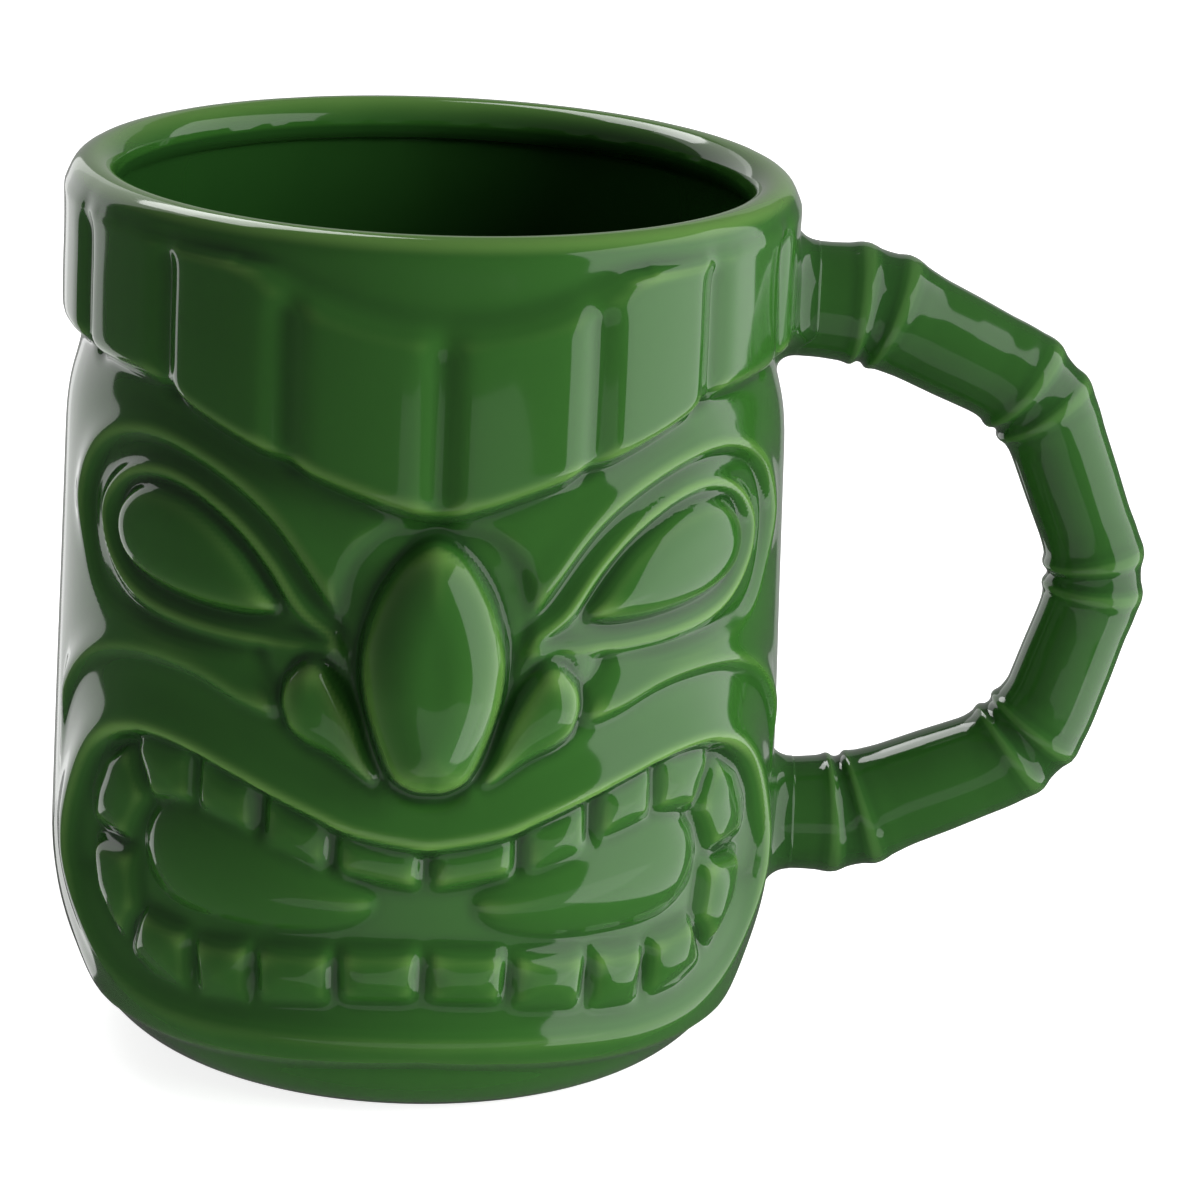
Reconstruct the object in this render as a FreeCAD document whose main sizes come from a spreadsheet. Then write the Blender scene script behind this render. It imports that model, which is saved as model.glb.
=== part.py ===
# Tiki mug: a slip-cast cup with a carved face and a bamboo-shaped handle, joined with clay slip.
# Frame: millimetres, +Z up, origin at the centre of the foot ring, face towards -Y, handle towards +X.
import FreeCAD, Part
import Sketcher
import math
import os

doc = FreeCAD.newDocument("tiki_mug")
sheet = doc.addObject("Spreadsheet::Sheet", "sizes")

DRIVING_SIZES = [
    ("mug_height", 122.0, "rim above the table"),
    ("foot_radius", 34.0, "outside of the foot ring"),
    ("foot_ring_width", 5.0, "bare ring that the mug stands on"),
    ("foot_recess", 1.5, "height of the hollow under the base"),
    ("belly_radius", 50.4, "widest part of the wall"),
    ("belly_height", 28.0, "height of the widest part"),
    ("shoulder_radius", 49.0, "wall below the headband"),
    ("shoulder_height", 88.0, "where the wall starts to pull in"),
    ("notch_radius", 47.2, "waist under the headband"),
    ("notch_height", 97.5, "height of that waist"),
    ("band_radius", 49.7, "headband at its fullest"),
    ("lip_radius", 46.0, "middle of the rolled lip"),
    ("lip_roll", 3.3, "radius of the roll"),
    ("wall", 4.8, "thickness of the cast wall"),
    ("floor_height", 7.0, "top of the floor inside"),
    ("floor_corner", 14.0, "rounding between floor and wall"),
    ("ridge_proud", 1.8, "eye, cheek and lip ridges over the wall"),
    ("brow_proud", 2.4, "point of the headband over the wall"),
    ("mouth_depth", 1.8, "sunk floor of the mouth"),
    ("groove_width", 2.2, "cuts between the headband panels"),
    ("groove_depth", 0.6, "depth of those cuts"),
    ("groove_bottom", 99.0, "lower end of the cuts round the band"),
    ("groove_top", 117.0, "upper end of the cuts round the band"),
    ("front_groove_bottom", 84.0, "lower end of the cuts over the nose"),
    ("front_groove_top", 111.0, "upper end of the cuts over the nose"),
    ("band_full_height", 108.0, "height of the fullest part of the headband"),
    ("lip_underside", 11.0, "how far under the rim the lip thins to the wall"),
    ("tooth_proud", 0.9, "teeth over the wall"),
    ("nose_height", 35.0, "length of the nose"),
    ("nose_width", 20.5, "width of the nose"),
    ("nose_reach", 9.5, "half of the depth of the nose"),
    ("handle_end_radius", 8.1, "bamboo stem where it meets the cup"),
    ("handle_mid_radius", 7.4, "bamboo stem along the arms"),
    ("handle_tip_radius", 6.6, "bamboo stem at its far side"),
    ("handle_bore", 2.6, "radius of the drain-cast hollow in the stem"),
    ("node_rise", 0.7, "bamboo nodes over the stem"),
    ("collar_rise", 2.4, "slip fillet over the stem"),
    ("collar_length", 3.6, "slip fillet along the stem"),
]
size = {}
for row, (alias, value, note) in enumerate(DRIVING_SIZES, start=1):
    sheet.set(f"A{row}", note)
    sheet.set(f"B{row}", str(value))
    sheet.setAlias(f"B{row}", alias)
    size[alias] = value
doc.recompute()


def new_sketch(body, name):
    """A sketch on the body's own XZ plane: sketch x is the mug's x, sketch y is height."""
    sketch = body.newObject("Sketcher::SketchObject", name)
    plane = [item for item in body.Origin.OriginFeatures if item.Role == "XZ_Plane"][0]
    sketch.AttachmentSupport = [(plane, "")]
    sketch.MapMode = "FlatFace"
    return sketch


def pin_corner(sketch, edge, position, expressions):
    """Hold one end of an edge at its x and height, each bound to the sheet."""
    for kind, expression in zip(("DistanceX", "DistanceY"), expressions):
        value = sheet.evalExpression(expression)
        if abs(value) < 1e-9:
            axis = -2 if kind == "DistanceX" else -1
            sketch.addConstraint(Sketcher.Constraint("PointOnObject", edge, position, axis))
            continue
        index = sketch.addConstraint(Sketcher.Constraint(kind, -1, 1, edge, position, value))
        sketch.setExpression(f"Constraints[{index}]", expression)


def draw_outline(sketch, corners):
    """Closed outline. A corner is (x, height) or, where the edge to the next one is an arc, (x, height, via)."""
    points = []
    for corner in corners:
        points.append(FreeCAD.Vector(sheet.evalExpression(corner[0]), sheet.evalExpression(corner[1]), 0))
    ends = []
    for index, corner in enumerate(corners):
        start = points[index]
        end = points[(index + 1) % len(points)]
        if len(corner) == 2:
            edge = sketch.addGeometry(Part.LineSegment(start, end), False)
            ends.append((edge, 1, 2))
            continue
        via = FreeCAD.Vector(corner[2][0], corner[2][1], 0)
        arc = Part.Arc(start, via, end)
        edge = sketch.addGeometry(arc, False)
        starts_here = sketch.getPoint(edge, 1).distanceToPoint(start) < 1e-6
        ends.append((edge, 1, 2) if starts_here else (edge, 2, 1))
        sketch.addConstraint(Sketcher.Constraint("Radius", edge, sketch.Geometry[edge].Radius))
    for index, (edge, start_end, far_end) in enumerate(ends):
        following = ends[(index + 1) % len(ends)]
        sketch.addConstraint(Sketcher.Constraint("Coincident", edge, far_end, following[0], following[1]))
        pin_corner(sketch, edge, start_end, corners[index][:2])


def revolved(name, corners):
    """A body turned about the mug's axis from one closed outline."""
    body = doc.addObject("PartDesign::Body", name)
    sketch = new_sketch(body, name + "_outline")
    draw_outline(sketch, corners)
    doc.recompute()
    turn = body.newObject("PartDesign::Revolution", name + "_turn")
    turn.Profile = sketch
    turn.ReferenceAxis = (sketch, ["V_Axis"])
    turn.Angle = 360
    doc.recompute()
    return body


def padded(name, outlines):
    """A body pushed from the middle plane through the face: its first outline, less the ones inside it."""
    body = doc.addObject("PartDesign::Body", name)
    sketch = new_sketch(body, name + "_outline")
    for outline in outlines:
        draw_outline(sketch, outline)
    doc.recompute()
    pad = body.newObject("PartDesign::Pad", name + "_pad")
    pad.Profile = sketch
    pad.setExpression("Length", "sizes.belly_radius + 20")
    doc.recompute()
    return body


def combined(kind, name, *shapes):
    """A Part boolean of objects: Cut takes exactly two."""
    result = doc.addObject("Part::" + kind, name)
    if kind == "Cut":
        result.Base, result.Tool = shapes
    else:
        result.Shapes = list(shapes)
    doc.recompute()
    return result


def mirrored(name, source):
    """The same relief on the other side of the face."""
    result = doc.addObject("Part::Mirroring", name)
    result.Source = source
    result.Base = (0, 0, 0)
    result.Normal = (1, 0, 0)
    doc.recompute()
    return result


def on_face(degrees, radius, height):
    """A point at an angle round from the middle of the face, at a radius from the mug's axis."""
    turn = math.radians(degrees)
    return FreeCAD.Vector(radius * math.sin(turn), -radius * math.cos(turn), height)


# The cup ---------------------------------------------------------------------------------------

# Where the middle of a quarter turn lies along each of its two radii.
HALF_TURN_SIDE = math.sin(math.radians(45))


def wall_outline(grow):
    """Half section of the wall below the headband, grown outwards by a length from the sheet."""
    foot = f"sizes.foot_radius + {grow}"
    belly = f"sizes.belly_radius + {grow}"
    foot_x = sheet.evalExpression(foot)
    belly_x = sheet.evalExpression(belly)
    bulge = (foot_x + (belly_x - foot_x) * HALF_TURN_SIDE, size["belly_height"] * (1 - HALF_TURN_SIDE))
    shoulder = f"sizes.shoulder_radius + {grow}"
    return [
        ("0", "0"),
        (foot, "0", bulge),
        (belly, "sizes.belly_height"),
        (shoulder, "sizes.shoulder_height"),
        (f"sizes.notch_radius + {grow}", "sizes.notch_height"),
        ("0", "sizes.notch_height"),
    ]


cup_wall = revolved("cup_wall", wall_outline("0"))
ridge_skin = revolved("ridge_skin", wall_outline("sizes.ridge_proud"))
brow_skin = revolved("brow_skin", wall_outline("sizes.brow_proud"))
mouth_floor = revolved("mouth_floor", wall_outline("-sizes.mouth_depth"))

roll_side = size["lip_roll"] * HALF_TURN_SIDE
roll_centre = size["mug_height"] - size["lip_roll"]
outer_roll = (size["lip_radius"] + roll_side, roll_centre + roll_side)
inner_roll = (size["lip_radius"] - roll_side, roll_centre + roll_side)
headband = revolved("headband", [
    ("0", "sizes.notch_height"),
    ("sizes.notch_radius", "sizes.notch_height"),
    ("sizes.band_radius - 0.5", "sizes.notch_height + 4"),
    ("sizes.band_radius", "sizes.band_full_height"),
    ("sizes.lip_radius + sizes.lip_roll", "sizes.mug_height - sizes.lip_roll", outer_roll),
    ("sizes.lip_radius", "sizes.mug_height"),
    ("0", "sizes.mug_height"),
])

inner_wall = "sizes.belly_radius - sizes.wall"
floor_edge = f"{inner_wall} - sizes.floor_corner"
corner_x = sheet.evalExpression(floor_edge) + size["floor_corner"] * HALF_TURN_SIDE
corner_z = size["floor_height"] + size["floor_corner"] * (1 - HALF_TURN_SIDE)
drink_space = revolved("drink_space", [
    ("0", "sizes.floor_height"),
    (floor_edge, "sizes.floor_height", (corner_x, corner_z)),
    (inner_wall, "sizes.floor_height + sizes.floor_corner"),
    ("sizes.shoulder_radius - sizes.wall", "sizes.shoulder_height"),
    ("sizes.shoulder_radius - sizes.wall", "sizes.mug_height - sizes.lip_underside"),
    ("sizes.lip_radius - sizes.lip_roll", "sizes.mug_height - 2.2 * sizes.lip_roll"),
    ("sizes.lip_radius - sizes.lip_roll", "sizes.mug_height - sizes.lip_roll", inner_roll),
    ("sizes.lip_radius", "sizes.mug_height"),
    ("sizes.lip_radius", "sizes.mug_height + 5"),
    ("0", "sizes.mug_height + 5"),
])

foot_hollow = doc.addObject("Part::Cylinder", "foot_hollow")
foot_hollow.setExpression("Radius", "sizes.foot_radius - sizes.foot_ring_width")
foot_hollow.setExpression("Height", "sizes.foot_recess")

# The headband comes down to a point over the nose.
band_point = padded("band_point", [[
    ("-38", "98"), ("-20.5", "91.5"), ("0", "85.5"), ("20.5", "91.5"), ("38", "98"),
]])
band_front = combined("MultiCommon", "band_front", band_point, brow_skin)

# Cuts between the headband panels: the same on the front and the back, none behind the handle.
PANEL_ANGLES = [0, 24, 48, 72, 108, 132, 156, 180, 204, 228, 252, 288, 312, 336]
FRONT_ANGLES = [0, 24, 336]
panel_cuts = []
for count, degrees in enumerate(PANEL_ANGLES):
    ends = ("front_groove_bottom", "front_groove_top") if degrees in FRONT_ANGLES else ("groove_bottom", "groove_top")
    cut = doc.addObject("Part::Cylinder", f"panel_cut_{count}")
    cut.setExpression("Radius", "sizes.groove_width / 2")
    cut.setExpression("Height", f"sizes.{ends[1]} - sizes.{ends[0]}")
    axis_radius = size["band_radius"] + size["groove_width"] / 2 - size["groove_depth"]
    if degrees in FRONT_ANGLES:
        axis_radius += size["brow_proud"] - size["ridge_proud"]
    cut.Placement.Base = on_face(degrees, axis_radius, size[ends[0]])
    panel_cuts.append(cut)

# The face --------------------------------------------------------------------------------------

eye_ring_pad = padded("eye_ring_pad", [
    [("10.5", "68", (24.5, 87.5)), ("38", "92.5", (45.6, 88)), ("47", "78", (45.5, 69)), ("36", "66.8")],
    [("18", "71.2", (27, 84.5)), ("38", "88.2", (43.4, 84)), ("44", "78.5", (42, 71.5)), ("36", "69.6")],
])
eye_ring = combined("MultiCommon", "eye_ring", eye_ring_pad, ridge_skin)
eyeball_pad = padded("eyeball_pad", [
    [("21", "72", (28.5, 83)), ("37", "86.3", (41.5, 83)), ("42.6", "78.5", (40.5, 72.5)), ("35", "71.2")],
])
eyeball = combined("MultiCommon", "eyeball", eyeball_pad, ridge_skin)
cheek_pad = padded("cheek_pad", [
    [("18.5", "58.6"), ("32", "61.5", (41.5, 62.5)), ("48.5", "48"), ("50", "50", (43.5, 64.8)), ("32", "63.8"),
     ("20", "61.5")],
])
cheek = combined("MultiCommon", "cheek", cheek_pad, ridge_skin)

nostril = doc.addObject("Part::Ellipsoid", "nostril")
nostril.Radius1 = 5.0
nostril.Radius2 = 8.6
nostril.Radius3 = 5.2
nostril.Placement = FreeCAD.Placement(
    on_face(15, 48, 58.8), FreeCAD.Rotation(FreeCAD.Vector(0, 1, 0), -50))

nose = doc.addObject("Part::Ellipsoid", "nose")
nose.setExpression("Radius1", "sizes.nose_height / 2")
nose.setExpression("Radius2", "sizes.nose_width / 2")
nose.setExpression("Radius3", "sizes.nose_reach")
nose.Placement.Base = on_face(0, size["shoulder_radius"] - 0.5, 66.5)

MOUTH_INSIDE = [
    ("-25.5", "49.2", (-41, 49.6)), ("-45.5", "38.4"), ("-46", "28.7", (-42.5, 16.4)), ("-31", "14.5"), ("31", "14.5",
     (42.5, 16.4)), ("46", "28.7"), ("45.5", "38.4", (41, 49.6)), ("25.5", "49.2", (0, 40)),
]
LIPS_OUTSIDE = [
    ("-25.5", "53.4", (-42.5, 53.4)), ("-48.5", "39.6"), ("-49", "27.7", (-44.5, 12)), ("-31", "10"), ("31", "10",
     (44.5, 12)), ("49", "27.7"), ("48.5", "39.6", (42.5, 53.4)), ("25.5", "53.4", (0, 44)),
]
mouth_pad = padded("mouth_pad", [MOUTH_INSIDE])
mouth_sunk = combined("Cut", "mouth_sunk", mouth_pad, mouth_floor)
lips_pad = padded("lips_pad", [LIPS_OUTSIDE, MOUTH_INSIDE])
lips = combined("MultiCommon", "lips", lips_pad, ridge_skin)

mouth_swelling = doc.addObject("Part::Ellipsoid", "mouth_swelling")
mouth_swelling.Radius1 = 6.5
mouth_swelling.Radius2 = 13.0
mouth_swelling.Radius3 = 4.0
mouth_swelling.Placement = FreeCAD.Placement(
    on_face(36, 46.6, 35.5), FreeCAD.Rotation(FreeCAD.Vector(0, 0, 1), 36))

# Teeth on one side: angle round the face, height of the middle, width, height, lean in degrees.
TEETH = [
    ("upper_1", 7.0, 39.0, 8.6, 6.4, 3),
    ("upper_2", 20.2, 41.8, 7.2, 7.4, 12),
    ("upper_3", 32.6, 45.9, 7.8, 8.0, 10),
    ("upper_4", 45.0, 46.2, 8.4, 6.4, -6),
    ("upper_5", 57.0, 41.2, 7.6, 9.0, -35),
    ("side", 57.0, 27.6, 6.8, 12.2, 12),
    ("lower_1", 6.8, 23.6, 10.0, 7.0, 0),
    ("lower_2", 20.5, 22.3, 9.4, 8.2, 0),
    ("lower_3", 33.5, 21.4, 9.0, 8.4, 4),
    ("lower_4", 47.0, 21.0, 9.0, 8.0, 14),
]
teeth = []
for tooth_name, degrees, height, width, tall, lean in TEETH:
    tooth = doc.addObject("Part::Box", "tooth_" + tooth_name)
    tooth.Length = width
    tooth.Height = tall
    tooth.setExpression("Width", "sizes.mouth_depth + sizes.tooth_proud + 2")
    facing = FreeCAD.Rotation(FreeCAD.Vector(0, 0, 1), degrees)
    leaning = FreeCAD.Rotation(FreeCAD.Vector(0, 1, 0), -lean)
    turn = facing.multiply(leaning)
    front = on_face(degrees, size["belly_radius"] + size["tooth_proud"] - 0.4, height)
    corner = turn.multVec(FreeCAD.Vector(width / 2, 0, tall / 2))
    tooth.Placement = FreeCAD.Placement(front - corner, turn)
    teeth.append(tooth)

right_side = combined("MultiFuse", "right_side", eye_ring, eyeball, cheek, nostril, mouth_swelling, *teeth)
left_side = mirrored("left_side", right_side)

cup_sunk = combined("Cut", "cup_sunk", cup_wall, mouth_sunk)
cup_carved = combined("MultiFuse", "cup_carved", cup_sunk, headband, band_front, lips, right_side, left_side, nose)
all_cuts = combined("MultiFuse", "all_cuts", *panel_cuts)
cup_grooved = combined("Cut", "cup_grooved", cup_carved, all_cuts)
hollows = combined("MultiFuse", "hollows", drink_space, foot_hollow)
mug_body = combined("Cut", "mug_body_shape", cup_grooved, hollows)

# The handle ------------------------------------------------------------------------------------

# Bends of the bamboo stem in the XZ plane, from the upper joint round to the lower one:
# x, height, and the stem's radius there.
STEM = [
    (46.5, 104.8, "handle_end_radius"),
    (60.8, 103.8, "handle_mid_radius"),
    (84.0, 92.0, "handle_tip_radius"),
    (93.5, 66.6, "handle_tip_radius"),
    (84.4, 42.6, "handle_mid_radius"),
    (60.0, 31.4, "handle_end_radius"),
    (46.5, 30.8, "handle_end_radius"),
]
NODE_RING_SPACING = 3.4


def stem_solid(name, radii):
    """Straight tapering runs of bamboo, with a ball at each bend. radii are expressions, one a bend."""
    pieces = []
    for count in range(len(STEM) - 1):
        start = FreeCAD.Vector(STEM[count][0], 0, STEM[count][1])
        end = FreeCAD.Vector(STEM[count + 1][0], 0, STEM[count + 1][1])
        if radii[count] == radii[count + 1]:
            run = doc.addObject("Part::Cylinder", f"{name}_run_{count}")
            run.setExpression("Radius", radii[count])
        else:
            run = doc.addObject("Part::Cone", f"{name}_run_{count}")
            run.setExpression("Radius1", radii[count])
            run.setExpression("Radius2", radii[count + 1])
        run.Height = (end - start).Length
        run.Placement = FreeCAD.Placement(start, FreeCAD.Rotation(FreeCAD.Vector(0, 0, 1), end - start))
        pieces.append(run)
        if count > 0:
            ball = doc.addObject("Part::Sphere", f"{name}_bend_{count}")
            ball.setExpression("Radius", radii[count])
            ball.Placement.Base = start
            pieces.append(ball)
    return combined("MultiFuse", name, *pieces)


stem_outside = stem_solid("stem_outside", ["sizes." + radius for _x, _z, radius in STEM])
stem_bore = stem_solid("stem_bore", ["sizes.handle_bore"] * len(STEM))

# Each bend is a bamboo node: a raised ring in the middle and a lower one each side of it.
node_rings = []
for count in range(1, len(STEM) - 1):
    before = FreeCAD.Vector(STEM[count - 1][0], 0, STEM[count - 1][1])
    here = FreeCAD.Vector(STEM[count][0], 0, STEM[count][1])
    after = FreeCAD.Vector(STEM[count + 1][0], 0, STEM[count + 1][1])
    along = (after - before).normalize()
    for step, rise in ((-1, 0.4), (0, 0.8), (1, 0.4)):
        ring = doc.addObject("Part::Torus", f"node_{count}_ring_{step + 1}")
        ring.setExpression("Radius1", f"sizes.{STEM[count][2]} - 2 + {rise} * sizes.node_rise")
        ring.Radius2 = 2.0
        ring.Placement = FreeCAD.Placement(
            here + along * step * NODE_RING_SPACING, FreeCAD.Rotation(FreeCAD.Vector(0, 0, 1), along))
        node_rings.append(ring)

handle_outside = combined("MultiFuse", "handle_outside", stem_outside, *node_rings)
handle_cast = combined("Cut", "handle_cast", handle_outside, stem_bore)
cup_solid = combined("MultiFuse", "cup_solid", cup_wall, headband)
handle = combined("Cut", "handle_shape", handle_cast, cup_solid)


def luting_joint(name, end, inwards):
    """A fillet of slip round the stem where it meets the cup, clear of the stem and the cup themselves."""
    start = FreeCAD.Vector(STEM[end][0], 0, STEM[end][1])
    toward = FreeCAD.Vector(STEM[inwards][0], 0, STEM[inwards][1]) - start
    stub = doc.addObject("Part::Cone", name + "_cone")
    buried = size["notch_radius"] - STEM[end][0] + 2
    stub.setExpression("Radius1", "sizes.handle_end_radius + 2 * sizes.collar_rise")
    stub.setExpression("Radius2", "sizes.handle_end_radius - 0.2")
    stub.setExpression("Height", f"sizes.collar_length + {buried}")
    stub.Placement = FreeCAD.Placement(start, FreeCAD.Rotation(FreeCAD.Vector(0, 0, 1), toward))
    outside = combined("Cut", name + "_outside", stub, cup_solid)
    return combined("Cut", name + "_shape", outside, handle_outside)


upper_joint = luting_joint("upper_joint", 0, 1)
lower_joint = luting_joint("lower_joint", len(STEM) - 1, len(STEM) - 2)

# Checks and files ------------------------------------------------------------------------------

NODES = {
    "mug_body": mug_body,
    "handle": handle,
    "upper_luting_joint": upper_joint,
    "lower_luting_joint": lower_joint,
}
for item in doc.Objects:
    if "Invalid" in item.State or "Error" in item.State:
        raise RuntimeError(f"{item.Name} failed: {item.State}")
os.makedirs("parts", exist_ok=True)
for node, item in NODES.items():
    item.Label = node
    shape = item.Shape
    if shape.isNull() or not shape.isValid():
        raise RuntimeError(f"{node} has no valid shape")
    box = shape.BoundBox
    print(node, "solids", len(shape.Solids), "volume", round(shape.Volume), "X", round(box.XMin, 1),
          round(box.XMax, 1), "Y", round(box.YMin, 1), round(box.YMax, 1), "Z", round(box.ZMin, 1), round(box.ZMax, 1))
    shape.exportStep(f"parts/{node}.step")
print("drink volume, ml", round(drink_space.Shape.Volume / 1000))
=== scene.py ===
import math

import bpy
import numpy as np
from mathutils import Matrix, Vector


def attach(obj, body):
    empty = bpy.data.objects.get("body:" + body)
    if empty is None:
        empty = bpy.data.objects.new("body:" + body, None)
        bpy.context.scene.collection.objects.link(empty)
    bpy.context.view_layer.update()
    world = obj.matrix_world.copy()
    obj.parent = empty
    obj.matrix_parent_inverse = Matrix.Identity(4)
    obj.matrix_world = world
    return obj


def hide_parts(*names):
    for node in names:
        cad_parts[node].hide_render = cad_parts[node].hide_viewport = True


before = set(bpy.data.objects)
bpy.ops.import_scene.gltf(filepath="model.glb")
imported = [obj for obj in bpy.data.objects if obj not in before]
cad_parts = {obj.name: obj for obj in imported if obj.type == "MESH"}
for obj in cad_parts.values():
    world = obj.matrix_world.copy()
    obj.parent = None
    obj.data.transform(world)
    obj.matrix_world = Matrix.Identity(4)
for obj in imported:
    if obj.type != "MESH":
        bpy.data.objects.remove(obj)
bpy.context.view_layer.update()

mm = 0.001
scene = bpy.context.scene


# ---- small helpers ----

def makeMesh(name, points, faces, material):
    mesh = bpy.data.meshes.new(name)
    mesh.from_pydata([tuple(p) for p in points], [], faces)
    mesh.validate()
    mesh.polygons.foreach_set("use_smooth", [True] * len(mesh.polygons))
    mesh.materials.append(material)
    piece = bpy.data.objects.new(name, mesh)
    scene.collection.objects.link(piece)
    return piece


def setPointValue(piece, name, values):
    attribute = piece.data.attributes.new(name, "FLOAT", "POINT")
    attribute.data.foreach_set("value", np.asarray(values, dtype=np.float32))


def smoothStep(low, high, x):
    t = np.clip((x - low) / (high - low), 0, 1)
    return t * t * (3 - 2 * t)


def bump(distance, width):
    return np.exp(-(distance / width) ** 2)


# a bump that is wide on the positive side and narrow on the negative one
def sidedBump(distance, wide, narrow):
    return np.where(distance > 0, bump(distance, wide), bump(distance, narrow))


def blur(values, sigma):
    reach = max(1, int(3 * sigma))
    kernel = np.exp(-np.arange(-reach, reach + 1) ** 2 / (2 * sigma ** 2))
    kernel /= kernel.sum()
    for axis in (0, 1):
        padding = [(0, 0), (0, 0)]
        padding[axis] = (reach, reach)
        padded = np.pad(values, padding, mode="reflect" if axis == 0 else "edge")
        values = sum(weight * np.take(padded, range(i, i + values.shape[axis]), axis=axis)
                     for i, weight in enumerate(kernel))
    return values


# Catmull-Rom through a few control points
def smoothLine(points, closed, steps=8):
    p = np.array(points, dtype=float)
    count = len(p)
    line = []
    for i in range(count if closed else count - 1):
        if closed:
            a, b, c, d = (p[(i + k) % count] for k in (-1, 0, 1, 2))
        else:
            a, b, c, d = p[max(i - 1, 0)], p[i], p[i + 1], p[min(i + 2, count - 1)]
        for t in np.arange(steps) / steps:
            line.append(0.5 * (2 * b + (c - a) * t + (2 * a - 5 * b + 4 * c - d) * t ** 2
                               + (3 * b - a - 3 * c + d) * t ** 3))
    if not closed:
        line.append(p[-1])
    return np.array(line)


# ---- stage, camera and lights ----

viewSettings = {
    "middle": (0, 0, 60), "distance": 650, "elevation": 17.0, "turn": -2.3,
    "aimRight": 23.4, "aimUp": 2.4, "lean": 2.6, "lens": 143.1,
}


def addCamera(v):
    middle = Vector(v["middle"])
    turn, rise = math.radians(v["turn"]), math.radians(v["elevation"])
    away = Vector((math.sin(turn) * math.cos(rise), -math.cos(turn) * math.cos(rise), math.sin(rise)))
    spot = middle + away * v["distance"]
    right = (-away).cross(Vector((0, 0, 1))).normalized()
    look = middle + right * v["aimRight"] + right.cross(-away) * v["aimUp"] - spot
    look.normalize()
    right = look.cross(Vector((0, 0, 1))).normalized()
    up = right.cross(look)
    lean = math.radians(v["lean"])
    side = right * math.cos(lean) + up * math.sin(lean)
    up = up * math.cos(lean) - right * math.sin(lean)
    data = bpy.data.cameras.new("camera")
    data.lens = v["lens"]
    camera = bpy.data.objects.new("camera", data)
    scene.collection.objects.link(camera)
    turned = Matrix((side, up, -look)).transposed().to_4x4()
    camera.matrix_world = Matrix.Translation(spot * mm) @ turned
    scene.camera = camera


# azimuth is counted from the front of the face towards the handle side, in degrees
# a fill lights the clay but leaves no reflection in the glaze
lightSettings = {
    "rightBox": {"azimuth": 80, "elevation": 4, "distance": 0.62, "size": (0.86, 1.1), "watts": 4.0},
    "rightFill": {"azimuth": 62, "elevation": 20, "distance": 0.9, "size": (0.5, 0.5), "watts": 6.8, "fill": True},
    "leftBox": {"azimuth": -142, "elevation": 10, "distance": 0.75, "size": (0.6, 1.3), "watts": 2.2},
    "backBox": {"azimuth": 178, "elevation": 6, "distance": 0.95, "size": (0.9, 1.0), "watts": 0.7},
    "topBox": {"azimuth": -150, "elevation": 52, "distance": 0.9, "size": (0.5, 0.4), "watts": 2.5},
}
# dim cards lying in front of the mug, the second close under the chin
cardSettings = {
    "frontCard": {"middle": (0.06, -0.245), "size": (0.22, 0.35), "watts": 0.07},
    "chinCard": {"middle": (0.0, -0.11), "size": (0.36, 0.16), "watts": 0.09, "fill": True},
}


def addLamp(name, size, watts):
    data = bpy.data.lights.new(name, "AREA")
    data.shape = "RECTANGLE"
    data.size, data.size_y = size
    data.energy = watts
    lamp = bpy.data.objects.new(name, data)
    lamp.visible_camera = False
    scene.collection.objects.link(lamp)
    return lamp


def addSoftbox(name, box):
    azimuth, elevation = math.radians(box["azimuth"]), math.radians(box["elevation"])
    away = Vector((math.sin(azimuth) * math.cos(elevation), -math.cos(azimuth) * math.cos(elevation),
                   math.sin(elevation)))
    lamp = addLamp(name, box["size"], box["watts"])
    lamp.location = Vector((0, 0, 0.06)) + away * box["distance"]
    lamp.rotation_euler = away.to_track_quat("Z", "Y").to_euler()
    lamp.visible_glossy = not box.get("fill", False)


def addCard(name, card):
    lamp = addLamp(name, card["size"], card["watts"])
    lamp.location = (card["middle"][0], card["middle"][1], 0.002)
    lamp.visible_glossy = not card.get("fill", False)
    lamp.rotation_euler = (math.pi, 0, 0)


stageSettings = {
    "floorRadius": 3.0, "floorSides": 64, "floorColour": (0.8, 0.8, 0.8), "floorGlow": 0.85,
    "backdrop": (1.0, 1.0, 1.0), "roomLight": 0.118,
}


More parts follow.
